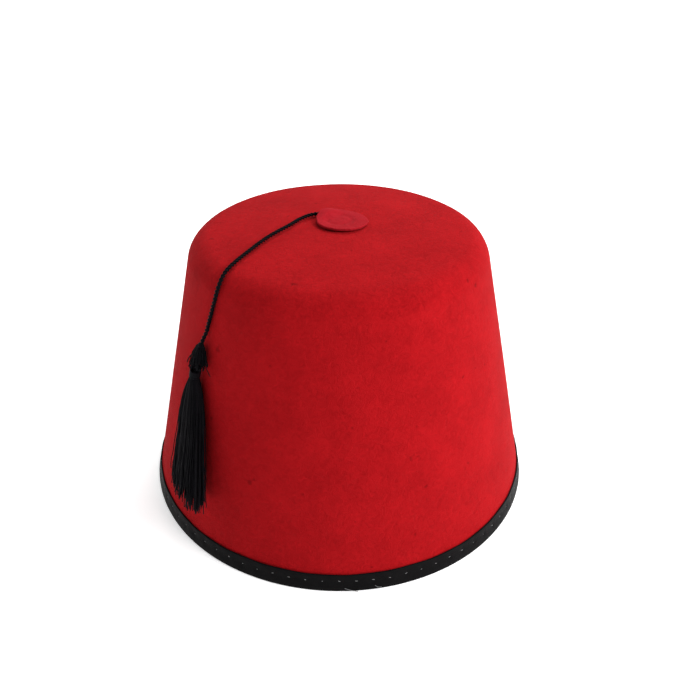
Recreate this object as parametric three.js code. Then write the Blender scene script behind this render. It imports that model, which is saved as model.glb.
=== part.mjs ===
// A fez: a tapering crown of moulded felt, open at the rim, its edge bound in a black band,
// with a small felt disc on top, a twisted cord that comes out from under the disc, and a
// tassel that lies against the side. Millimetres, +Z up. The origin is the centre of the rim's
// flat underside, so the hat stands on z = 0. The tassel hangs at the front left.
import * as THREE from 'three';

// Driving dimensions of the felt crown.
const rimRadius = 95; // outer face of the felt, run down to the floor
const sideLean = THREE.MathUtils.degToRad(12.7); // how far the side leans inwards
const crownHeight = 132; // middle of the top above the floor
const domeRadius = 470; // the top is very slightly domed
const edgeRadius = 12.5; // rounding between the side and the top
const feltThickness = 2.1;
const gap = 0.25; // clear space between a piece and its neighbour

// The binding at the rim.
const bandRise = 8.4; // top of the outer leg above the floor
const bandInnerRise = 7.7; // top of the leg inside the hat
const bandThickness = 1.05;
const foldThickness = 1.05; // the band where it passes under the felt's edge
const foldRounding = 0.8;

// The disc on the top, set a little off the middle.
const discCentre = new THREE.Vector2(1.3, -0.4);
const discRadius = 11.7;
const discThickness = 1.2;
const discEdge = 0.35; // rounding of its cut edge
const discCurl = 0.55; // how far its edge stands up where it curls most
const discCurlAngle = THREE.MathUtils.degToRad(240); // towards the front left
const discLift = 2; // height it is pushed up by, over the cord
const discLiftAngle = THREE.MathUtils.degToRad(138); // side on which the cord leaves
const discLiftStart = 3; // distance from its middle where the rise begins
const discLiftEnd = 8.5; // and where it is full
const discLiftSpread = 6; // how far the rise spreads to both sides

// The cord, from under the disc, over the edge of the top and down the side to the tassel.
const cordDiameter = 1.9;
const cordPoints = [
  [-5.0, 7.0, 133.05],
  [-7.0, 7.1, 133.05],
  [-10.2, 6.9, 133.05],
  [-13.0, 5.6, 133.0],
  [-15.4, 3.4, 133.0],
  [-18.4, 0.0, 132.9],
  [-21.9, -5.6, 132.8],
  [-26.0, -10.7, 132.5],
  [-30.2, -16.2, 132.1],
  [-34.0, -22.2, 131.6],
  [-37.6, -28.2, 130.9],
  [-40.7, -33.5, 130.3],
  [-43.4, -38.2, 129.6],
  [-45.8, -42.2, 128.3],
  [-47.6, -45.2, 125.9],
  [-49.2, -47.1, 122.2],
  [-50.8, -47.9, 117.2],
  [-52.4, -47.9, 112.3],
  [-54.1, -47.8, 107.0],
  [-55.3, -48.0, 103.2],
  [-56.5, -48.5, 100.8],
  [-57.1, -48.8, 99.6],
].map((point) => new THREE.Vector3(...point));

// The tassel's axis: top of its knot, top of the neck, top of the skirt and middle of the hem.
const knotTop = new THREE.Vector3(-57.4, -48.9, 99.2);
const neckTop = new THREE.Vector3(-60.9, -51.0, 86.7);
const skirtTop = new THREE.Vector3(-62.0, -50.6, 82.2);
const hem = new THREE.Vector3(-68.5, -68.6, 26.2);

// Sections of the tassel's pieces, from the top down. drop is measured along the axis,
// width is half the size along the hat's side and depth half the size away from it.
const knotSections = [
  { drop: 0.0, width: 0.0, depth: 0.0 },
  { drop: 0.2, width: 1.3, depth: 1.2 },
  { drop: 1.2, width: 2.2, depth: 1.9 },
  { drop: 3.0, width: 2.5, depth: 2.1 },
  { drop: 5.0, width: 2.3, depth: 2.1 },
  { drop: 6.2, width: 2.1, depth: 1.9 },
  { drop: 7.2, width: 3.1, depth: 2.6 },
  { drop: 8.8, width: 4.2, depth: 3.1 },
  { drop: 10.4, width: 4.7, depth: 3.2 },
  { drop: 11.8, width: 4.1, depth: 2.9 },
  { drop: 12.6, width: 2.4, depth: 2.0 },
  { drop: 12.8, width: 0.0, depth: 0.0 },
];
const bindingSections = [
  { drop: 0.4, width: 0.0, depth: 0.0 },
  { drop: 0.4, width: 2.1, depth: 2.1 },
  { drop: 0.9, width: 2.4, depth: 2.4 },
  { drop: 3.4, width: 2.4, depth: 2.4 },
  { drop: 3.9, width: 2.1, depth: 2.1 },
  { drop: 3.9, width: 0.0, depth: 0.0 },
];
const skirtSections = [
  { drop: 0.2, width: 0.0, depth: 0.0 },
  { drop: 0.2, width: 2.4, depth: 2.2 },
  { drop: 2.5, width: 4.3, depth: 2.7 },
  { drop: 7.0, width: 6.6, depth: 3.3 },
  { drop: 14.0, width: 8.2, depth: 3.9 },
  { drop: 24.0, width: 9.2, depth: 4.6 },
  { drop: 34.0, width: 9.9, depth: 5.3 },
  { drop: 44.0, width: 10.3, depth: 5.9 },
  { drop: 50.0, width: 10.2, depth: 6.2 },
  { drop: 54.0, width: 9.4, depth: 6.1 },
  { drop: 57.0, width: 8.0, depth: 5.4 },
  { drop: 57.0, width: 0.0, depth: 0.0 },
];

// How finely round shapes are faceted.
const crownSides = 72;
const edgeSteps = 7;
const domeSteps = 4;
const discSides = 48;
const tasselSides = 24;
const cordSides = 8;
const cordSteps = 40;

// The rounding's centre lies edgeRadius inside the side's line and inside the dome's arc.
const domeCentre = new THREE.Vector2(0, crownHeight - domeRadius);
const sideOut = new THREE.Vector2(Math.cos(sideLean), Math.sin(sideLean));
const sideUp = new THREE.Vector2(-Math.sin(sideLean), Math.cos(sideLean));
const insetFoot = new THREE.Vector2(rimRadius, 0).addScaledVector(sideOut, -edgeRadius);
const footFromDome = insetFoot.clone().sub(domeCentre);
const footAlong = footFromDome.dot(sideUp);
const reachSquared = (domeRadius - edgeRadius) ** 2 - footFromDome.lengthSq();
const climb = Math.sqrt(footAlong ** 2 + reachSquared) - footAlong;
const edgeCentre = insetFoot.clone().addScaledVector(sideUp, climb);
const domeAngle = edgeCentre.clone().sub(domeCentre).angle();

// Radius, at a height, of the side's line moved outwards by offset.
function sideRadius(height, offset) {
  return rimRadius - height * Math.tan(sideLean) + offset / Math.cos(sideLean);
}

function pointAt(centre, radius, angle) {
  return new THREE.Vector2(Math.cos(angle), Math.sin(angle)).multiplyScalar(radius).add(centre);
}

// One face of the felt from the rim to the axis, depth inside the outer face.
function feltFace(depth, lowest) {
  const points = [new THREE.Vector2(sideRadius(lowest, -depth), lowest)];
  for (let step = 0; step <= edgeSteps; step++) {
    const angle = THREE.MathUtils.lerp(sideLean, domeAngle, step / edgeSteps);
    points.push(pointAt(edgeCentre, edgeRadius - depth, angle));
  }
  for (let step = 1; step < domeSteps; step++) {
    const angle = THREE.MathUtils.lerp(domeAngle, Math.PI / 2, step / domeSteps);
    points.push(pointAt(domeCentre, domeRadius - depth, angle));
  }
  points.push(new THREE.Vector2(0, crownHeight - depth));
  return points;
}

// A profile in radius and height, turned round the upright axis.
function turned(profile, sides) {
  return new THREE.LatheGeometry(profile, sides).rotateX(Math.PI / 2);
}

function crown() {
  const lowest = foldThickness + gap;
  const inner = feltFace(feltThickness, lowest).reverse();
  return turned([...inner, ...feltFace(0, lowest)], crownSides);
}

// A channel that wraps the felt's edge: an outer leg, a flat fold and an inner leg.
function rimBand() {
  const outerFace = gap + bandThickness;
  const innerSeat = -feltThickness - gap;
  const innerFace = innerSeat - bandThickness;
  const lip = bandThickness / 3;
  const rows = [
    { offset: outerFace - foldRounding, height: 0 },
    { offset: outerFace - foldRounding / 4, height: foldRounding / 3 },
    { offset: outerFace, height: foldRounding },
    { offset: outerFace, height: bandRise - lip },
    { offset: outerFace - lip, height: bandRise },
    { offset: gap, height: bandRise },
    { offset: gap, height: foldThickness },
    { offset: innerSeat, height: foldThickness },
    { offset: innerSeat, height: bandInnerRise },
    { offset: innerFace + lip, height: bandInnerRise },
    { offset: innerFace, height: bandInnerRise - lip },
    { offset: innerFace, height: foldRounding },
    { offset: innerFace + foldRounding / 4, height: foldRounding / 3 },
    { offset: innerFace + foldRounding, height: 0 },
  ];
  const profile = rows.map((row) => new THREE.Vector2(sideRadius(row.height, row.offset), row.height));
  return turned([...profile, profile[0].clone()], crownSides);
}

function crownTop(x, y) {
  return domeCentre.y + Math.sqrt(domeRadius ** 2 - x ** 2 - y ** 2);
}

// How far the disc stands up: over the cord, most where the cord leaves it, and where its
// edge curls.
function liftAt(x, y) {
  const fromCentre = new THREE.Vector2(x, y).sub(discCentre);
  const exit = pointAt(new THREE.Vector2(), 1, discLiftAngle);
  const rise = THREE.MathUtils.smoothstep(fromCentre.dot(exit), discLiftStart, discLiftEnd);
  const across = fromCentre.cross(exit);
  const overCord = discLift * rise * Math.exp(-((across / discLiftSpread) ** 2));
  const outwards = (fromCentre.length() / discRadius) ** 3;
  const towardsCurl = (1 + Math.cos(fromCentre.angle() - discCurlAngle)) / 2;
  return overCord + discCurl * outwards * towardsCurl;
}

// A felt disc that follows the top and rises over the cord.
function topDisc() {
  const flat = [0, 2, 4, 6, 8, 10, discRadius - discEdge];
  const profile = [
    ...flat.map((radius) => new THREE.Vector2(radius, 0)),
    new THREE.Vector2(discRadius, discEdge),
    new THREE.Vector2(discRadius, discThickness - discEdge),
    ...flat.toReversed().map((radius) => new THREE.Vector2(radius, discThickness)),
  ];
  const geometry = turned(profile, discSides).translate(discCentre.x, discCentre.y, gap);
  const place = geometry.getAttribute('position');
  for (let i = 0; i < place.count; i++) {
    const x = place.getX(i);
    const y = place.getY(i);
    place.setZ(i, place.getZ(i) + crownTop(x, y) + liftAt(x, y));
  }
  return geometry;
}

function cord() {
  const section = new THREE.Shape();
  for (let side = 0; side < cordSides; side++) {
    const corner = pointAt(new THREE.Vector2(), cordDiameter / 2, (side * 2 * Math.PI) / cordSides);
    if (side === 0) section.moveTo(corner.x, corner.y);
    else section.lineTo(corner.x, corner.y);
  }
  section.closePath();
  const extrudePath = new THREE.CatmullRomCurve3(cordPoints);
  return new THREE.ExtrudeGeometry(section, { steps: cordSteps, extrudePath, bevelEnabled: false });
}

// A piece of the tassel: its sections turned round the axis and flattened against the hat.
function tasselPiece(sections) {
  const profile = sections.map((row) => new THREE.Vector2(row.width, -row.drop)).reverse();
  const flattening = sections.map((row) => (row.width ? row.depth / row.width : 1)).reverse();
  const geometry = new THREE.LatheGeometry(profile, tasselSides);
  const place = geometry.getAttribute('position');
  for (let i = 0; i < place.count; i++) {
    place.setZ(i, place.getZ(i) * flattening[i % profile.length]);
  }
  return geometry;
}

// Hangs a tassel piece along a stretch of the axis, its flat side towards the hat.
function hang(mesh, top, bottom) {
  const up = top.clone().sub(bottom).normalize();
  const away = new THREE.Vector3(top.x, top.y, 0);
  const side = up.clone().cross(away).normalize();
  const out = side.clone().cross(up);
  mesh.setRotationFromMatrix(new THREE.Matrix4().makeBasis(side, up, out));
  mesh.position.copy(top);
  return mesh;
}

const redFelt = new THREE.MeshStandardMaterial({ color: 0xb01a20, roughness: 0.95, metalness: 0 });
const blackBinding = new THREE.MeshStandardMaterial({ color: 0x1c1a1b, roughness: 0.6, metalness: 0 });
const blackYarn = new THREE.MeshStandardMaterial({ color: 0x0c0c0e, roughness: 0.45, metalness: 0 });

function named(name, geometry, material) {
  const mesh = new THREE.Mesh(geometry, material);
  mesh.name = name;
  return mesh;
}

const hat = new THREE.Group();
hat.add(
  named('crown', crown(), redFelt),
  named('rim_band', rimBand(), blackBinding),
  named('top_disc', topDisc(), redFelt),
  named('cord', cord(), blackYarn),
  hang(named('tassel_knot', tasselPiece(knotSections), blackYarn), knotTop, neckTop),
  hang(named('tassel_binding', tasselPiece(bindingSections), blackYarn), neckTop, skirtTop),
  hang(named('tassel_skirt', tasselPiece(skirtSections), blackYarn), skirtTop, hem),
);

export default hat;
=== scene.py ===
"""The looks of a fez: moulded red felt, a stitched black binding at the rim, a felt disc on top,
a twisted cord and a tassel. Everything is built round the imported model, in metres, +Z up."""

import math

import bpy
import numpy as np
from mathutils import Matrix, Vector


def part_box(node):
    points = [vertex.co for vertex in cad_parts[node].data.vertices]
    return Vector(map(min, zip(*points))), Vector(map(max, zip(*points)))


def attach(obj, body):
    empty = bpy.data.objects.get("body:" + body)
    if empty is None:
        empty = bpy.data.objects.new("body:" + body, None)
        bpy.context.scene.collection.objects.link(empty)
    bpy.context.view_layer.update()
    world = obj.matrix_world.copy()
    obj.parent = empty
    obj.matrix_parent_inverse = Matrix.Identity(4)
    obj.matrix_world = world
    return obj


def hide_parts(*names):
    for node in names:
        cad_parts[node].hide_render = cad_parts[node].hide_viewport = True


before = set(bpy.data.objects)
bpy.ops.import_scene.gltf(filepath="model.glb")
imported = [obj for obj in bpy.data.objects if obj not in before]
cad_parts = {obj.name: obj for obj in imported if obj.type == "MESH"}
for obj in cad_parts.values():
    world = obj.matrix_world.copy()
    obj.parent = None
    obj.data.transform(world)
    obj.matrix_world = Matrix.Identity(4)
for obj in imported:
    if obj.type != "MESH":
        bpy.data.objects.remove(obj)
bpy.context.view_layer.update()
MM = 0.001


# ---------------------------------------------------------------- camera
# The hat is seen from the front, from a little above, standing on a table. The frame is moved
# slightly so that the hat sits just left of the middle.

CAMERA_DISTANCE = 366.8 * MM
CAMERA_ELEVATION = math.radians(32.6)
crown_low, crown_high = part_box("crown")
target = Vector((0, 0, crown_high.z * 0.4875))
sight_line = Vector((0, -math.cos(CAMERA_ELEVATION), math.sin(CAMERA_ELEVATION)))
camera_data = bpy.data.cameras.new("camera")
camera_data.sensor_width = 36
camera_data.lens = 37.8
camera_data.shift_x = 0.0153
camera_data.shift_y = -0.0019
camera_data.clip_start = 0.01
camera = bpy.data.objects.new("camera", camera_data)
camera.location = target + sight_line * CAMERA_DISTANCE
camera.rotation_euler = (math.pi / 2 - CAMERA_ELEVATION, 0, 0)
bpy.context.scene.collection.objects.link(camera)
bpy.context.scene.camera = camera
bpy.context.scene.view_settings.view_transform = "Standard"


# ---------------------------------------------------------------- cord
# Black rayon cord, two plies of yarn twisted hard together. It comes out from under the felt
# disc, crosses the top, drops over the edge and ends inside the tassel, which is knotted to it.


class Wire:
    """A node socket. Arithmetic on it adds the Math nodes that work it out."""

    def __init__(self, graph, socket):
        self.graph = graph
        self.socket = socket

    def maths(self, operation, *others):
        values = dict(enumerate((self, *others)))
        return self.graph.node("ShaderNodeMath", {"operation": operation}, values)

    def __add__(self, other):
        return self.maths("ADD", other)

    def __sub__(self, other):
        return self.maths("SUBTRACT", other)

    def __mul__(self, other):
        return self.maths("MULTIPLY", other)

    def __pow__(self, other):
        return self.maths("POWER", other)

    def __rsub__(self, other):
        values = {0: other, 1: self}
        return self.graph.node("ShaderNodeMath", {"operation": "SUBTRACT"}, values)

    __radd__ = __add__

    def mix(self, low, high):
        """The colour between low and high, with this value as the share of high."""
        settings = {"data_type": "RGBA"}
        values = {0: self, 6: low, 7: high}
        return self.graph.node("ShaderNodeMix", settings, values, output=2)


class Graph:
    """A node tree that is written as expressions on its wires."""

    def __init__(self, tree):
        self.tree = tree

    def node(self, kind, settings=None, values=None, output=0):
        made = self.tree.nodes.new(kind)
        for name, value in (settings or {}).items():
            if name == "stops":
                self.set_stops(made.color_ramp.elements, value)
            else:
                setattr(made, name, value)
        for name, value in (values or {}).items():
            if isinstance(value, Wire):
                self.tree.links.new(value.socket, made.inputs[name])
            else:
                made.inputs[name].default_value = value
        return Wire(self, made.outputs[output]) if len(made.outputs) else made

    @staticmethod
    def set_stops(elements, stops):
        for element, (place, shade) in zip(elements, (stops[0], stops[-1])):
            element.position = place
            element.color = (shade, shade, shade, 1)
        for place, shade in stops[1:-1]:
            elements.new(place).color = (shade, shade, shade, 1)


def finish_of(name, build):
    """A material whose Principled shader gets the sockets that build(graph) returns."""
    material = bpy.data.materials.new(name)
    material.use_nodes = True
    material.node_tree.nodes.clear()
    graph = Graph(material.node_tree)
    shader = graph.node("ShaderNodeBsdfPrincipled", {}, build(graph))
    graph.node("ShaderNodeOutputMaterial", {}, {"Surface": shader})
    return material


def noise_on(graph, place, scale, detail=4.0, roughness=0.5, distortion=0.0):
    values = {"Vector": place, "Scale": scale, "Detail": detail}
    values |= {"Roughness": roughness, "Distortion": distortion}
    return graph.node("ShaderNodeTexNoise", {}, values)


def bump_on(graph, height, depth):
    return graph.node("ShaderNodeBump", {}, {"Height": height, "Distance": depth, "Strength": 1.0})


def object_place(graph):
    return graph.node("ShaderNodeTexCoord", output="Object")


def yarn_build(graph):
    """Black rayon: nearly black, with a faint cool sheen and fine filaments."""
    place = object_place(graph)
    filaments = noise_on(graph, place, 2600, detail=2)
    patches = noise_on(graph, place, 260, detail=3)
    shade = patches.mix((0.0010, 0.0010, 0.0011, 1), (0.0042, 0.0038, 0.0048, 1))
    return {
        "Base Color": shade,
        "Roughness": 0.40 + patches * 0.2,
        "Specular IOR Level": 0.07,
        "Specular Tint": (0.85, 0.82, 1.0, 1),
        "Normal": bump_on(graph, filaments, 0.06 * MM),
    }


black_yarn = finish_of("black_yarn", yarn_build)


def skin(name, rings, material, wrap=False):
    """A closed surface over rings of points: poles fill its ends, or wrap joins them."""
    count, sides = rings.shape[:2]
    vertices = [tuple(point) for ring in rings for point in ring]
    faces = []
    for row in range(count if wrap else count - 1):
        here = row * sides
        above = ((row + 1) % count) * sides
        for side in range(sides):
            after = (side + 1) % sides
            faces.append((here + side, here + after, above + after, above + side))
    if not wrap:
        last = (count - 1) * sides
        vertices += [tuple(rings[0].mean(axis=0)), tuple(rings[-1].mean(axis=0))]
        start, end = len(vertices) - 2, len(vertices) - 1
        for side in range(sides):
            after = (side + 1) % sides
            faces.append((start, after, side))
            faces.append((end, last + side, last + after))
    mesh = bpy.data.meshes.new(name)
    mesh.from_pydata(vertices, [], faces)
    mesh.polygons.foreach_set("use_smooth", [True] * len(faces))
    mesh.materials.append(material)
    made = bpy.data.objects.new(name, mesh)
    bpy.context.scene.collection.objects.link(made)
    return made


def smooth_path(points, spacing):
    """Evenly spaced places on a curve that passes through all the points."""
    knots = np.array(points, float)
    ends = [2 * knots[0] - knots[1], *knots, 2 * knots[-1] - knots[-2]]
    share = np.linspace(0, 1, 24, endpoint=False)[:, None]
    dense = []
    for a, b, c, d in zip(ends, ends[1:], ends[2:], ends[3:]):
        dense.append(
            b
            + (c - a) * share / 2
            + (a * 2 - b * 5 + c * 4 - d) * share**2 / 2
            + (b * 3 - a - c * 3 + d) * share**3 / 2
        )
    dense = np.vstack([*dense, knots[-1:]])
    steps = np.linalg.norm(np.diff(dense, axis=0), axis=1)
    run = np.concatenate([[0], np.cumsum(steps)])
    even = np.linspace(0, run[-1], int(run[-1] / spacing) + 1)
    return np.column_stack([np.interp(even, run, dense[:, axis]) for axis in range(3)])


def carried_sides(path, closed=False):
    """A direction across the path at each place, carried along it without twisting."""
    if closed:
        tangents = np.roll(path, -1, axis=0) - np.roll(path, 1, axis=0)
    else:
        tangents = np.gradient(path, axis=0)
    tangents /= np.linalg.norm(tangents, axis=1)[:, None]
    side = np.cross(tangents[0], (0.31, 0.17, 0.93))
    sides = []
    for tangent in tangents:
        side = side - tangent * side.dot(tangent)
        side /= np.linalg.norm(side)
        sides.append(side)
    return tangents, np.array(sides)


def twisted_rings(path, diameter, lay, plies=2, corners=20, closed=False):
    """Sections of a cord of round plies, turned steadily along the path, once in each lay."""
    tangents, sides = carried_sides(path, closed)
    others = np.cross(tangents, sides)
    ply = diameter * 0.29
    offset = diameter / 2 - ply
    around = np.arange(corners) / corners * 2 * math.pi
    fold = (around + math.pi / plies) % (2 * math.pi / plies) - math.pi / plies
    reach = offset * np.cos(fold) + np.sqrt(np.maximum(ply**2 - (offset * np.sin(fold)) ** 2, 0))
    steps = np.linalg.norm(np.diff(path, axis=0), axis=1)
    run = np.concatenate([[0], np.cumsum(steps)])
    if closed:
        whole = run[-1] + np.linalg.norm(path[0] - path[-1])
        lay = whole / round(whole / lay)
    turn = run / lay * 2 * math.pi
    angle = around[None, :] + turn[:, None]
    across = np.cos(angle)[..., None] * sides[:, None] + np.sin(angle)[..., None] * others[:, None]
    return path[:, None] + across * reach[None, :, None]


CORD_DIAMETER = 1.9 * MM
CORD_LAY = 3.4 * MM
cord_route = [
    Vector(point) * MM
    for point in (
        (-5.0, 7.0, 133.05),
        (-7.0, 7.1, 133.05),
        (-10.2, 6.9, 133.05),
        (-13.0, 5.6, 133.0),
        (-15.4, 3.4, 133.0),
        (-18.4, 0.0, 132.9),
        (-21.9, -5.6, 132.8),
        (-26.0, -10.7, 132.5),
        (-30.2, -16.2, 132.1),
        (-34.0, -22.2, 131.6),
        (-37.6, -28.2, 130.9),
        (-40.7, -33.5, 130.3),
        (-43.4, -38.2, 129.6),
        (-45.8, -42.2, 128.3),
        (-47.6, -45.2, 125.9),
        (-49.2, -47.1, 122.2),
        (-50.8, -47.9, 117.2),
        (-52.4, -47.9, 112.3),
        (-54.1, -47.8, 107.0),
        (-55.3, -48.0, 103.2),
        (-56.5, -48.5, 100.8),
        (-57.1, -48.8, 99.6),
        (-58.0, -49.3, 96.5),
        (-59.4, -50.2, 91.5),
        (-60.9, -51.0, 86.7),
        (-62.0, -50.8, 82.2),
        (-62.8, -52.5, 75.0),
        (-63.3, -53.8, 70.4),
    )
]
cord_path = smooth_path(cord_route, 0.3 * MM)
cord = skin("cord_twist", twisted_rings(cord_path, CORD_DIAMETER, CORD_LAY), black_yarn)


# ---------------------------------------------------------------- tassel knot
# Where the cord ends it is tied in a small hard knot. Short ends of the tassel's yarn stand out
# below it in a ragged ruff that hangs over the neck.


def grown(name, tree, values):
    """The plain mesh that a Geometry Nodes tree makes with these values of its inputs."""
    made = bpy.data.objects.new(name, bpy.data.meshes.new(name))
    bpy.context.scene.collection.objects.link(made)
    modifier = made.modifiers.new("growth", "NODES")
    modifier.node_group = tree
    for item in tree.interface.items_tree:
        if item.item_type == "SOCKET" and item.in_out == "INPUT":
            modifier[item.identifier] = values[item.name]
    evaluated = made.evaluated_get(bpy.context.evaluated_depsgraph_get())
    mesh = bpy.data.meshes.new_from_object(evaluated)
    made.modifiers.remove(modifier)
    made.data = mesh
    mesh.name = name
    return made


def growing_tree(name, inputs):
    """A Geometry Nodes tree with named number inputs, and its graph and input wires."""
    tree = bpy.data.node_groups.new(name, "GeometryNodeTree")
    tree.interface.new_socket("Geometry", in_out="OUTPUT", socket_type="NodeSocketGeometry")
    for label, kind in inputs.items():
        tree.interface.new_socket(label, in_out="INPUT", socket_type="NodeSocket" + kind)
    graph = Graph(tree)
    source = tree.nodes.new("NodeGroupInput")
    wires = {label: Wire(graph, source.outputs[label]) for label in inputs}
    return tree, graph, wires


def finish_growth(graph, shape, material):
    """Ends a tree: instances made real, smooth shading and the material."""
    real = graph.node("GeometryNodeRealizeInstances", {}, {"Geometry": shape})
    smooth = graph.node("GeometryNodeSetShadeSmooth", {}, {"Geometry": real})
    coloured = graph.node("GeometryNodeSetMaterial", {}, {"Geometry": smooth, "Material": material})
    graph.node("NodeGroupOutput", {}, {0: coloured})


def chance(graph, low, high, seed):
    """A random number for each element, the same on every run."""
    values = {2: low, 3: high, "Seed": seed}
    return graph.node("FunctionNodeRandomValue", {"data_type": "FLOAT"}, values, output=1)


def strand_tree(name, steps, width_at, depth_at, material):
    """Loose strands side by side in a flattened bundle whose half sizes follow the drop."""
    inputs = {"Strands": "Int", "Length": "Float", "Thickness": "Float", "Wave": "Float"}
    inputs |= {"Raggedness": "Float", "Slant": "Float", "Stray": "Float", "Seed": "Int"}
    tree, graph, wires = growing_tree(name, inputs)
    line = graph.node("GeometryNodeCurvePrimitiveLine", {}, {"End": (0, 1, 0)})
    strand = graph.node("GeometryNodeResampleCurve", {}, {"Curve": line, "Count": steps})
    roots = graph.node("GeometryNodePoints", {}, {"Count": wires["Strands"]})
    wild = chance(graph, -1.0, 1.0, wires["Seed"] + 4)
    facts = {
        "bearing": chance(graph, 0.0, 2 * math.pi, wires["Seed"]),
        "depth": chance(graph, 0.0, 1.0, wires["Seed"] + 1) ** 0.5,
        "cut": 1 - wires["Raggedness"] * chance(graph, 0.0, 1.0, wires["Seed"] + 2) ** 1.6,
        "stray": wild * wild * wild,
    }
    for label, value in facts.items():
        values = {"Geometry": roots, "Name": label, "Value": value}
        roots = graph.node("GeometryNodeStoreNamedAttribute", {"data_type": "FLOAT"}, values)
    laid = graph.node("GeometryNodeInstanceOnPoints", {}, {"Points": roots, "Instance": strand})
    laid = graph.node("GeometryNodeRealizeInstances", {}, {"Geometry": laid})

    def fact(label):
        return graph.node("GeometryNodeInputNamedAttribute", {"data_type": "FLOAT"}, {"Name": label})

    run = graph.node("GeometryNodeSplineParameter")
    share = run * fact("cut")
    across = fact("depth") * fact("bearing").maths("COSINE")
    outward = fact("depth") * fact("bearing").maths("SINE")
    swirl_values = {"X": across * 3.0, "Y": share * 3.0, "Z": outward * 3.0}
    swirl_place = graph.node("ShaderNodeCombineXYZ", {}, swirl_values)
    swirl_settings = {"noise_dimensions": "4D"}
    swirl_values = {"Vector": swirl_place, "W": wires["Seed"] * 3.7, "Scale": 2.2, "Detail": 3.0}
    swirl = graph.node("ShaderNodeTexNoise", swirl_settings, swirl_values, output=1)
    parts = [graph.node("ShaderNodeSeparateXYZ", {}, {0: swirl}, output=i) - 0.5 for i in (0, 2)]
    loose = wires["Wave"] * share
    spread = wires["Stray"] * fact("stray") * share + 1
    values = {
        "X": across * width_at(share) * spread + parts[0] * loose,
        "Y": wires["Length"] * share * (across * wires["Slant"] + 1) * -1,
        "Z": outward * depth_at(share) + parts[1] * loose * 0.5,
    }
    place = graph.node("ShaderNodeCombineXYZ", {}, values)
    bent = graph.node("GeometryNodeSetPosition", {}, {"Geometry": laid, "Position": place})
    values = {"Resolution": 5, "Radius": wires["Thickness"]}
    ring = graph.node("GeometryNodeCurvePrimitiveCircle", {}, values)
    values = {"Curve": bent, "Profile Curve": ring, "Fill Caps": True}
    tube = graph.node("GeometryNodeCurveToMesh", {}, values)
    finish_growth(graph, tube, material)
    return tree


def tassel_frame(top, bottom):
    """Turns and moves a piece from its own upright place to a stretch of the tassel's axis."""
    up = (top - bottom).normalized()
    side = up.cross(Vector((top.x, top.y, 0))).normalized()
    turn = Matrix((side, up, side.cross(up))).transposed().to_4x4()
    return Matrix.Translation(top) @ turn


def joined(name, pieces):
    """One object of several, in the place of the first."""
    with bpy.context.temp_override(
        active_object=pieces[0],
        object=pieces[0],
        selected_objects=pieces,
        selected_editable_objects=pieces,
    ):
        bpy.ops.object.join()
    pieces[0].name = name
    pieces[0].data.name = name
    return pieces[0]


knot_top = Vector((-57.4, -48.9, 99.2)) * MM
neck_top = Vector((-60.9, -51.0, 86.7)) * MM
skirt_top = Vector((-62.0, -50.6, 82.2)) * MM
hem = Vector((-68.5, -68.6, 26.2)) * MM
knot_frame = tassel_frame(knot_top, neck_top)

# The small hard knot is the cord itself, turned round on itself in a trefoil.
KNOT_HALF_WIDTH = 1.5 * MM
KNOT_HALF_HEIGHT = 2.3 * MM
KNOT_HALF_DEPTH = 0.8 * MM
KNOT_DROP = 3.2 * MM
turns = np.linspace(0, 2 * math.pi, 160, endpoint=False)
knot_path = np.column_stack(
    [
        (np.sin(turns) + 2 * np.sin(2 * turns)) / 3 * KNOT_HALF_WIDTH,
        (np.cos(turns) - 2 * np.cos(2 * turns)) / 3 * KNOT_HALF_HEIGHT - KNOT_DROP,
        -np.sin(3 * turns) * KNOT_HALF_DEPTH,
    ]
)
hard_knot = skin(
    "tassel_knot",
    twisted_rings(knot_path, CORD_DIAMETER * 0.85, CORD_LAY, closed=True, corners=16),
    black_yarn,
    wrap=True,
)
hard_knot.data.transform(knot_frame)

RUFF_TOP = 1.2 * MM
RUFF_LENGTH = 11.8 * MM
ruff_frame = knot_frame @ Matrix.Translation((0, -RUFF_TOP, 0))
ruff_tree = strand_tree(
    "ruff_of_ends",
    steps=10,
    width_at=lambda share: (1 - (1 - share) ** 6) * (1.7 * MM) + share * (2.3 * MM) + 0.9 * MM,
    depth_at=lambda share: (1 - (1 - share) ** 6) * (0.8 * MM) + share * (1.3 * MM) + 0.8 * MM,
    material=black_yarn,
)
ruff_values = {"Strands": 230, "Length": RUFF_LENGTH, "Thickness": 0.2 * MM, "Wave": 7.5 * MM}
ruff_values |= {"Raggedness": 0.75, "Slant": -0.12, "Stray": 1.0, "Seed": 5}
ruff = grown("ruff", ruff_tree, ruff_values)
ruff.data.transform(ruff_frame)
tassel_knot = joined("tassel_knot_tied", [hard_knot, ruff])


# ---------------------------------------------------------------- tassel binding
# Thread wound tightly round the neck, which holds all the strands together.

BINDING_LENGTH = 3.6 * MM
BINDING_START = 0.3 * MM
BINDING_TURNS = 8
BINDING_RADIUS = 2.2 * MM
BINDING_THREAD = 0.27 * MM

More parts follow.
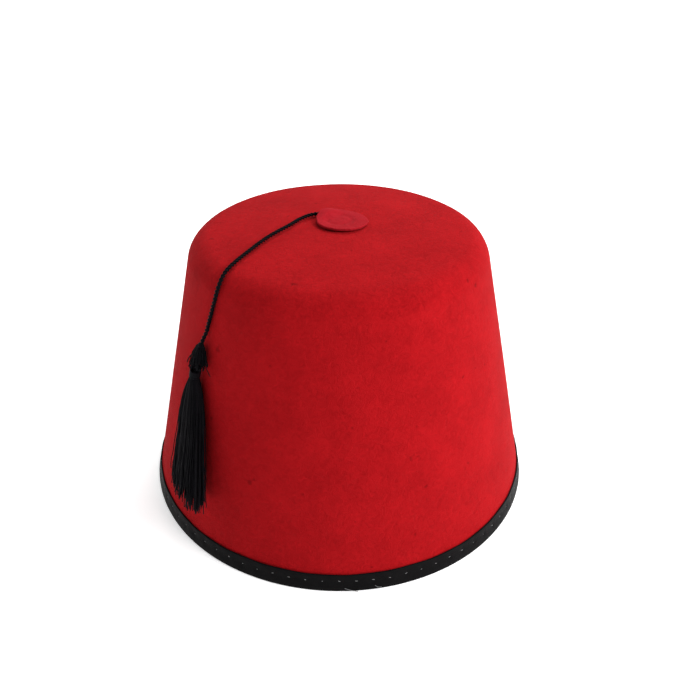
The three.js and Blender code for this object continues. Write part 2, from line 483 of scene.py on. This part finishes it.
binding_inputs = {"Turns": "Float", "Radius": "Float", "Length": "Float", "Thread": "Float"}
binding_tree, graph, wires = growing_tree("wound_thread", binding_inputs)
values = {"Resolution": 24, "Rotations": wires["Turns"], "Height": wires["Length"]}
values |= {"Start Radius": wires["Radius"], "End Radius": wires["Radius"]}
coil = graph.node("GeometryNodeCurveSpiral", {}, values)
values = {"Resolution": 8, "Radius": wires["Thread"]}
thread = graph.node("GeometryNodeCurvePrimitiveCircle", {}, values)
values = {"Curve": coil, "Profile Curve": thread, "Fill Caps": True}
finish_growth(graph, graph.node("GeometryNodeCurveToMesh", {}, values), black_yarn)
values = {"Turns": BINDING_TURNS, "Radius": BINDING_RADIUS, "Length": BINDING_LENGTH}
tassel_binding = grown("tassel_binding_thread", binding_tree, values | {"Thread": BINDING_THREAD})
binding_frame = tassel_frame(neck_top, skirt_top) @ Matrix.Translation((0, -BINDING_START, 0))
tassel_binding.data.transform(binding_frame @ Matrix.Rotation(math.pi / 2, 4, "X"))


# ---------------------------------------------------------------- tassel skirt
# Several hundred strands of rayon yarn, cut roughly level, that fan out as they fall and lie
# flattened against the side of the hat.

SKIRT_LENGTH = 54.5 * MM
SKIRT_TOP_HALF = 2.1 * MM
SKIRT_GROWTH = 7.0


def skirt_width(share):
    fan = 1 - (1 - share) ** SKIRT_GROWTH
    return SKIRT_TOP_HALF + fan * (5.4 * MM) + share * (3.2 * MM)


def skirt_depth(share):
    fan = 1 - (1 - share) ** SKIRT_GROWTH
    return SKIRT_TOP_HALF + fan * (1.2 * MM) + share * (2.5 * MM)


skirt_tree = strand_tree(
    "hanging_strands",
    steps=20,
    width_at=skirt_width,
    depth_at=skirt_depth,
    material=black_yarn,
)
skirt_values = {"Strands": 820, "Length": SKIRT_LENGTH, "Thickness": 0.2 * MM, "Wave": 4.4 * MM}
skirt_values |= {"Raggedness": 0.18, "Slant": 0.1, "Stray": 0.6, "Seed": 11}
tassel_skirt = grown("tassel_strands", skirt_tree, skirt_values)
tassel_skirt.data.transform(tassel_frame(skirt_top, hem))

for piece, node in (
    (tassel_knot, "tassel_knot"),
    (tassel_binding, "tassel_binding"),
    (tassel_skirt, "tassel_skirt"),
    (cord, "cord"),
):
    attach(piece, "root")
    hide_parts(node)


# ---------------------------------------------------------------- crown
# One piece of thick red felt, steamed over a block: a straight tapering side, a rounded edge
# and an almost flat top. Its fibres lie every way, so the red is faintly mottled and streaked.

SIDE_LEAN = math.radians(12.9)
FOOT_SPREAD = 0.45 * MM  # the felt stands out at its foot, behind the thin tape
EDGE_RADIUS = 12.5 * MM
DOME_RADIUS = 470 * MM
FELT_THICKNESS = 2.1 * MM
FELT_GAP = 0.25 * MM
crown_height = crown_high.z
crown_foot = crown_low.z
rim_radius = crown_high.x + crown_foot * math.tan(SIDE_LEAN) + FOOT_SPREAD
dome_centre = crown_height - DOME_RADIUS

# The rounding's centre lies EDGE_RADIUS inside the side's line and inside the dome's arc.
side_out = np.array((math.cos(SIDE_LEAN), math.sin(SIDE_LEAN)))
side_up = np.array((-math.sin(SIDE_LEAN), math.cos(SIDE_LEAN)))
inset_foot = np.array((rim_radius, 0)) - side_out * EDGE_RADIUS
from_dome = inset_foot - np.array((0, dome_centre))
along_side = from_dome.dot(side_up)
climb = math.sqrt(along_side**2 + (DOME_RADIUS - EDGE_RADIUS) ** 2 - from_dome.dot(from_dome))
edge_centre = inset_foot + side_up * (climb - along_side)
dome_angle = math.atan2(edge_centre[1] - dome_centre, edge_centre[0])


def side_radius(height, offset=0.0):
    return rim_radius - height * math.tan(SIDE_LEAN) + offset / math.cos(SIDE_LEAN)


def felt_face(depth, side_steps, edge_steps, dome_steps):
    """Radius and height from the rim to near the axis, depth inside the outer face."""
    shoulder = edge_centre + (EDGE_RADIUS - depth) * side_out
    heights = np.linspace(crown_foot, shoulder[1], side_steps, endpoint=False)
    side = np.column_stack([side_radius(heights, -depth), heights])
    bend = np.linspace(SIDE_LEAN, dome_angle, edge_steps, endpoint=False)
    edge = edge_centre + (EDGE_RADIUS - depth) * np.column_stack([np.cos(bend), np.sin(bend)])
    rise = np.linspace(dome_angle, math.pi / 2, dome_steps, endpoint=False)
    dome = np.column_stack([np.cos(rise), np.sin(rise)]) * (DOME_RADIUS - depth)
    return np.vstack([side, edge, dome + (0, dome_centre)])


def felt_wave(angle, height):
    """How far the felt stands out of true: it was pulled over its block by hand."""
    share = height / crown_height
    slow = np.sin(2 * angle + 0.7) * 0.25 + np.sin(3 * angle + 2.1 + share * 2) * 0.18
    quick = np.sin(7 * angle + 4 * share + 1.3) * 0.07 + np.sin(11 * angle - 9 * share) * 0.04
    return (slow * share + quick * share) * MM


def turned(profile, sides, wave=True):
    """Rings of points round the upright axis through each radius and height."""
    angle = np.arange(sides) / sides * 2 * math.pi
    radius = profile[:, :1] + (felt_wave(angle[None], profile[:, 1:]) if wave else 0)
    height = np.repeat(profile[:, 1:], sides, axis=1)
    return np.stack([radius * np.cos(angle), radius * np.sin(angle), height], axis=-1)


def felt_build(pale, rich, dark):
    """Pressed felt: matted fibres every way, faint clouds of shade, a soft bloom of fuzz."""

    def build(graph):
        place = object_place(graph)
        clouds = noise_on(graph, place, 55, detail=3, roughness=0.6)
        flecks = noise_on(graph, place, 420, detail=4, roughness=0.65, distortion=1.2)
        fibres = noise_on(graph, place, 1500, detail=3, roughness=0.7, distortion=2.5)
        ramp = {"stops": [(0.37, 0.0), (0.63, 1.0)]}
        spread = graph.node("ShaderNodeValToRGB", ramp, {"Fac": clouds * 0.4 + flecks * 0.6})
        shade = spread.mix(rich, pale)
        thin = graph.node("ShaderNodeValToRGB", {"stops": [(0.28, 1.0), (0.42, 0.0)]}, {"Fac": fibres})
        shade = (thin * 0.6).mix(shade, dark)
        lint = noise_on(graph, place, 230, detail=1)
        specks = graph.node("ShaderNodeValToRGB", {"stops": [(0.735, 0.0), (0.80, 0.6)]}, {"Fac": lint})
        shade = specks.mix(shade, dark)
        height = clouds * 0.5 + flecks * 0.5 + fibres * 0.22
        return {
            "Base Color": shade,
            "Roughness": 0.95,
            "Specular IOR Level": 0.05,
            "Sheen Weight": 0.035,
            "Sheen Roughness": 0.4,
            "Sheen Tint": (1.0, 0.35, 0.4, 1),
            "Normal": bump_on(graph, height, 0.7 * MM),
        }

    return build


red_felt = finish_of(
    "red_felt",
    felt_build((0.405, 0.0058, 0.0088, 1), (0.30, 0.0036, 0.0058, 1), (0.13, 0.0014, 0.0024, 1)),
)

CROWN_SIDES = 288
outer_face = felt_face(0.0, side_steps=70, edge_steps=22, dome_steps=26)
inner_face = felt_face(FELT_THICKNESS, side_steps=36, edge_steps=12, dome_steps=14)
crown = skin("felt_crown", turned(np.vstack([inner_face[::-1], outer_face]), CROWN_SIDES), red_felt)
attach(crown, "root")
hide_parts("crown")


# ---------------------------------------------------------------- rim binding
# Black tape folded over the cut edge of the felt, inside and out, and stitched through
# both legs in one run of small stitches. Each stitch pulls the tape in a little.

BAND_THICKNESS = 0.55 * MM
BAND_ROUNDING = 0.25 * MM
STITCHES = 80
STITCH_HEIGHT = 5.0 * MM
STITCH_PULL = 0.2 * MM
STITCH_SPACING = 7.1 * MM
PINCH_WIDTH = 1.1 * MM
PINCH_HEIGHT = 1.5 * MM
GROOVE_DEPTH = 0.08 * MM
FOLD_ROUNDING = 0.9 * MM
SEAT_ROUNDING = 0.1 * MM
INNER_LEG_SHORTER = 0.7 * MM
BAND_STEP = 0.9 * MM
BAND_SIDES = 1008
band_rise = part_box("rim_band")[1].z
band_inner_rise = band_rise - INNER_LEG_SHORTER


def rounded(corners, steps):
    """An outline with each corner rounded by its own radius, from points and radii."""
    outline = []
    for i, (x, y, radius) in enumerate(corners):
        corner = np.array((x, y))
        before = np.array(corners[i - 1][:2]) - corner
        after = np.array(corners[(i + 1) % len(corners)][:2]) - corner
        start = before / np.linalg.norm(before) * radius
        end = after / np.linalg.norm(after) * radius
        for share in np.linspace(0, 1, steps):
            outline.append(corner + start * (1 - share) ** 2 + end * share**2)
    return np.array(outline)


outer_stand = FELT_GAP + BAND_THICKNESS
seat = -FELT_THICKNESS - FELT_GAP
inner_stand = seat - BAND_THICKNESS
band_corners = [
    (outer_stand, 0.0, FOLD_ROUNDING),
    (outer_stand, band_rise, BAND_ROUNDING),
    (FELT_GAP, band_rise, BAND_ROUNDING),
    (FELT_GAP, BAND_THICKNESS, SEAT_ROUNDING),
    (seat, BAND_THICKNESS, SEAT_ROUNDING),
    (seat, band_inner_rise, BAND_ROUNDING),
    (inner_stand, band_inner_rise, BAND_ROUNDING),
    (inner_stand, 0.0, FOLD_ROUNDING),
]
band_outline = rounded(band_corners, 6)
# Long straight runs are divided, so that the stitches can shape them.
finer_outline = []
for corner, following in zip(band_outline, np.roll(band_outline, -1, axis=0)):
    parts = max(1, int(np.linalg.norm(following - corner) / BAND_STEP))
    for share in np.arange(parts) / parts:
        finer_outline.append(corner + (following - corner) * share)
band_outline = np.array(finer_outline)


def band_rings():
    """The channel's outline swept round the rim, pinched at each stitch and a little uneven."""
    angle = np.arange(BAND_SIDES) / BAND_SIDES * 2 * math.pi
    stand = band_outline[:, :1] * np.ones_like(angle)[None]
    height = band_outline[:, 1:] * np.ones_like(angle)[None]
    nearest = np.abs((angle * STITCHES / (2 * math.pi) + 0.5) % 1 - 0.5) * STITCH_SPACING
    level = (height - STITCH_HEIGHT) / PINCH_HEIGHT
    pinch = np.exp(-((nearest / PINCH_WIDTH) ** 2)) * np.exp(-(level**2)) * STITCH_PULL
    groove = np.exp(-(level**2) * 1.5) * GROOVE_DEPTH
    belly = 0.05 * MM * np.sin(angle * 23 + 1.1) + 0.04 * MM * np.sin(angle * 61 + height * 900)
    outside = np.clip((stand - FELT_GAP) / BAND_THICKNESS, 0, 1)
    inside = np.clip((seat - stand) / BAND_THICKNESS, 0, 1)
    standing = np.clip(height / (2 * MM), 0, 1)
    stand = stand + (belly * standing - pinch - groove) * outside + (pinch + groove) * inside
    sway = 0.16 * MM * np.sin(angle * 9 + 0.4) + 0.10 * MM * np.sin(angle * 31 + 2.0)
    height = height + sway * np.clip((height - 6 * MM) / (3 * MM), 0, 1)
    radius = side_radius(height, stand) + felt_wave(angle[None], height)
    return np.stack([radius * np.cos(angle), radius * np.sin(angle), height], axis=-1)


def tape_build(graph):
    """Black tape: dull, with fine threads across it."""
    place = object_place(graph)
    threads = noise_on(graph, place, 1900, detail=2, distortion=0.6)
    patches = noise_on(graph, place, 140, detail=3)
    shade = patches.mix((0.0015, 0.0014, 0.0015, 1), (0.0062, 0.0056, 0.0062, 1))
    return {
        "Base Color": shade,
        "Roughness": 0.40 + patches * 0.2,
        "Specular IOR Level": 0.04,
        "Normal": bump_on(graph, threads + patches * 0.8, 0.12 * MM),
    }


black_tape = finish_of("black_tape", tape_build)
rim_binding = skin("rim_binding", band_rings(), black_tape, wrap=True)


def thread_build(graph):
    """Pale grey sewing thread."""
    twist = noise_on(graph, object_place(graph), 3000, detail=2)
    return {
        "Base Color": twist.mix((0.04, 0.04, 0.04, 1), (0.24, 0.24, 0.245, 1)),
        "Roughness": 0.55,
        "Normal": bump_on(graph, twist, 0.05 * MM),
    }


grey_thread = finish_of("grey_thread", thread_build)
stitch_inputs = {"Stitches": "Int", "Ring": "Float", "Height": "Float", "Length": "Float"}
stitch_inputs |= {"Thread": "Float", "Seed": "Int"}
stitch_tree, graph, wires = growing_tree("ring_of_stitches", stitch_inputs)
values = {"Vertices": wires["Stitches"], "Radius": wires["Ring"]}
ring = graph.node("GeometryNodeMeshCircle", {}, values)
stray = chance(graph, -0.3 * MM, 0.3 * MM, wires["Seed"] + 2)
lift = graph.node("ShaderNodeCombineXYZ", {}, {"Z": wires["Height"] + stray})
ring = graph.node("GeometryNodeSetPosition", {}, {"Geometry": ring, "Offset": lift})
half = wires["Length"] * 0.5
dip = wires["Thread"] * -1.3
start = graph.node("ShaderNodeCombineXYZ", {}, {"X": half * -1, "Z": dip})
middle = graph.node("ShaderNodeCombineXYZ", {}, {"Z": wires["Thread"] * 2.2})
end = graph.node("ShaderNodeCombineXYZ", {}, {"X": half, "Z": dip})
values = {"Resolution": 8, "Start": start, "Middle": middle, "End": end}
arch = graph.node("GeometryNodeCurveQuadraticBezier", {}, values)
values = {"Resolution": 8, "Radius": wires["Thread"]}
section = graph.node("GeometryNodeCurvePrimitiveCircle", {}, values)
values = {"Curve": arch, "Profile Curve": section, "Fill Caps": True}
stitch = graph.node("GeometryNodeCurveToMesh", {}, values)
point = graph.node("GeometryNodeInputPosition")
east = graph.node("ShaderNodeSeparateXYZ", {}, {0: point}, output=0)
north = graph.node("ShaderNodeSeparateXYZ", {}, {0: point}, output=1)
bearing = north.maths("ARCTAN2", east) + math.pi / 2
tilt = math.pi / 2 - SIDE_LEAN
values = {"X": tilt, "Y": chance(graph, -0.4, 0.4, wires["Seed"]), "Z": bearing}
turn = graph.node("ShaderNodeCombineXYZ", {}, values)
values = {"Points": ring, "Instance": stitch, "Rotation": turn}
values["Scale"] = graph.node(
    "ShaderNodeCombineXYZ",
    {},
    {"X": chance(graph, 0.5, 1.25, wires["Seed"] + 1), "Y": 1.0, "Z": 1.0},
)
laid = graph.node("GeometryNodeInstanceOnPoints", {}, values)
finish_growth(graph, laid, grey_thread)
stitch_ring = side_radius(STITCH_HEIGHT, outer_stand - STITCH_PULL - GROOVE_DEPTH)
values = {"Stitches": STITCHES, "Ring": stitch_ring, "Height": STITCH_HEIGHT}
values |= {"Length": 1.25 * MM, "Thread": 0.16 * MM, "Seed": 3}
stitches = grown("rim_stitches", stitch_tree, values)

# Two short pale grey threads lie on the front of the fold and make two small light specks there:
# bearing, height, stand.
SPECK_THREAD = 0.34 * MM
speck_routes = [
    [(-88.6, 1.9, 0.1), (-87.0, 1.1, 0.35), (-85.1, 0.3, 0.3)],
    [(-80.6, 2.3, 0.1), (-79.9, 1.5, 0.3), (-78.9, 1.2, 0.2)],
]
speck_threads = []
for speck_route in speck_routes:
    places = []
    for degrees, height, stand in speck_route:
        bearing = math.radians(degrees)
        radius = side_radius(height * MM, outer_stand + stand * MM)
        places.append((math.cos(bearing) * radius, math.sin(bearing) * radius, height * MM))
    rings = twisted_rings(smooth_path(places, 0.1 * MM), SPECK_THREAD, SPECK_THREAD * 3, corners=10)
    speck_threads.append(skin("speck_thread", rings, grey_thread))
stitches = joined("rim_stitches", [stitches, *speck_threads])

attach(rim_binding, "root")
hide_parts("rim_band")
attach(stitches, "root")


# ---------------------------------------------------------------- top disc
# A small round of the same felt, cut by hand and stitched down over the hole that the cord
# comes out of, so the cord pushes it up on one side and the middle is drawn in.

DISC_CENTRE = (1.3 * MM, -0.4 * MM)
DISC_RADIUS = 11.7 * MM
DISC_THICKNESS = 1.2 * MM
DISC_EDGE = 0.45 * MM
DISC_CURL = 0.55 * MM
DISC_CURL_ANGLE = math.radians(240)
DISC_LIFT = 2.0 * MM
DISC_LIFT_ANGLE = math.radians(138)
DISC_LIFT_START = 3.0 * MM
DISC_LIFT_END = 8.5 * MM
DISC_LIFT_SPREAD = 6 * MM
DIMPLE_RADIUS = 5.4 * MM
DIMPLE_DEPTH = 0.33 * MM
DIMPLE_WIDTH = 1.5 * MM
DIMPLE_SHIFT = -1.4 * MM
DISC_PRESS = 0.5
DISC_PRESS_ANGLE = math.radians(15)
DISC_SIDES = 144


def disc_profile():
    inner = np.linspace(0.2 * MM, DISC_RADIUS - DISC_EDGE, 26)
    bend = np.linspace(-math.pi / 2, math.pi / 2, 12)[1:-1]
    flank = (1 - DISC_EDGE * 2 / DISC_THICKNESS) * DISC_THICKNESS / 2
    heights = DISC_THICKNESS / 2 + np.sin(bend) * DISC_EDGE + np.sign(bend) * flank
    edge = np.column_stack([DISC_RADIUS - DISC_EDGE + np.cos(bend) * DISC_EDGE, heights])
    low = np.column_stack([inner, inner * 0])
    high = np.column_stack([inner, inner * 0 + DISC_THICKNESS])[::-1]
    return np.vstack([low, edge, high])


def disc_rings():
    rings = turned(disc_profile(), DISC_SIDES, wave=False)
    x, y, z = rings[..., 0], rings[..., 1], rings[..., 2]
    angle = np.arctan2(y, x)
    ragged = 1 + 0.008 * np.sin(5 * angle + 1) + 0.006 * np.sin(13 * angle) + 0.004 * np.sin(29 * angle)
    x, y = x * ragged, y * ragged
    radius = np.hypot(x, y)
    along = x * math.cos(DISC_LIFT_ANGLE) + y * math.sin(DISC_LIFT_ANGLE)
    across = x * math.sin(DISC_LIFT_ANGLE) - y * math.cos(DISC_LIFT_ANGLE)
    share = np.clip((along - DISC_LIFT_START) / (DISC_LIFT_END - DISC_LIFT_START), 0, 1)
    rise = share**2 * (3 - 2 * share) * np.exp(-((across / DISC_LIFT_SPREAD) ** 2))
    curl = (radius / DISC_RADIUS) ** 3 * (1 + np.cos(angle - DISC_CURL_ANGLE)) / 2 * DISC_CURL
    drawn = np.hypot(x - DIMPLE_SHIFT, y) - DIMPLE_RADIUS
    dimple = DIMPLE_DEPTH * np.exp(-((drawn / DIMPLE_WIDTH) ** 2))
    upper = np.clip(z / DISC_THICKNESS, 0, 1)
    pressed = (radius / DISC_RADIUS) ** 4 * np.clip(np.cos(angle - DISC_PRESS_ANGLE), 0, 1)
    z = z * (1 - DISC_PRESS * pressed)
    x, y = x + DISC_CENTRE[0], y + DISC_CENTRE[1]
    ground = dome_centre + np.sqrt(DOME_RADIUS**2 - x**2 - y**2) + FELT_GAP
    return np.stack([x, y, ground + z + DISC_LIFT * rise + curl - dimple * upper], axis=-1)


disc_felt = finish_of(
    "disc_felt",
    felt_build((0.385, 0.011, 0.019, 1), (0.32, 0.0075, 0.013, 1), (0.17, 0.003, 0.005, 1)),
)
disc = skin("felt_disc", disc_rings(), disc_felt)
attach(disc, "root")
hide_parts("top_disc")


# ---------------------------------------------------------------- studio
# A plain white table top and three large soft lamps: a strong one at the front right, one above
# and behind, and a weak one at the back left. A pale surround fills in the rest.

FLOOR_RADIUS = 6.0
FLOOR_SIDES = 64
LAMP_SIZE = 0.9
floor_turns = np.arange(FLOOR_SIDES) / FLOOR_SIDES * 2 * math.pi
floor_ring = [(math.cos(a) * FLOOR_RADIUS, math.sin(a) * FLOOR_RADIUS, 0) for a in floor_turns]
floor_mesh = bpy.data.meshes.new("floor")
floor_mesh.from_pydata(floor_ring, [], [tuple(range(FLOOR_SIDES))])


def table_build(graph):
    """White card that is lit more strongly far away, so that it stays white up to the horizon."""
    place = object_place(graph)
    far = graph.node("ShaderNodeVectorMath", {"operation": "LENGTH"}, {0: place}, output=1)
    stops = {"stops": [(0.08, 0.62), (0.30, 1.0)]}
    glow = graph.node("ShaderNodeValToRGB", stops, {"Fac": far * 0.2})
    return {
        "Base Color": (0.93, 0.93, 0.93, 1),
        "Roughness": 0.9,
        "Emission Color": glow,
        "Emission Strength": 0.72,
    }


floor_mesh.materials.append(finish_of("white_table", table_build))
floor = bpy.data.objects.new("floor", floor_mesh)
bpy.context.scene.collection.objects.link(floor)


def soft_lamp(name, place, watts):
    data = bpy.data.lights.new(name, "AREA")
    data.shape = "DISK"
    data.size = LAMP_SIZE
    data.energy = watts
    lamp = bpy.data.objects.new(name, data)
    lamp.location = place
    lamp.rotation_euler = (target - Vector(place)).to_track_quat("-Z", "Y").to_euler()
    bpy.context.scene.collection.objects.link(lamp)


soft_lamp("key_right", (1.15, -0.45, 0.85), 24)
soft_lamp("back_top", (0.25, 0.9, 1.2), 14)
soft_lamp("fill_left", (-1.15, 0.4, 0.6), 3.8)

world = bpy.data.worlds.new("studio")
world.use_nodes = True
world.node_tree.nodes["Background"].inputs["Color"].default_value = (1, 1, 1, 1)
world.node_tree.nodes["Background"].inputs["Strength"].default_value = 0.31
bpy.context.scene.world = world
